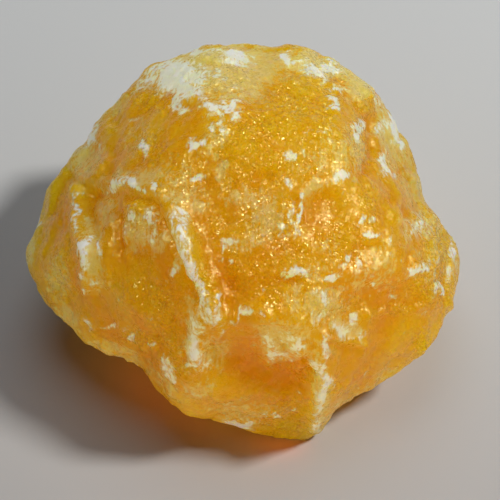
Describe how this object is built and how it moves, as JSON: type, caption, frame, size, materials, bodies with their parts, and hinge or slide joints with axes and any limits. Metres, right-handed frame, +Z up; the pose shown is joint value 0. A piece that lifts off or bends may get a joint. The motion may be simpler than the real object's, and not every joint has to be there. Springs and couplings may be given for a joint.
{
  "type": "calcite specimen",
  "caption": "Raw chunk of orange calcite with a broad domed face, worn fracture edges and a small flat underside to rest on.",
  "frame": {"origin": "on the surface that the stone rests on, below the middle of its box", "axes": "+X to the right along the stone's longest extent, +Y to the back, +Z up; the broad domed face looks up and to the front"},
  "size_m": [0.072, 0.06, 0.0459],
  "materials": {
    "calcite": "translucent waxy orange calcite with frosty white bruised patches, fine pits and small cleavage glints"
  },
  "bodies": {
    "root": {"calcite": "calcite"}
  },
  "joints": []
}
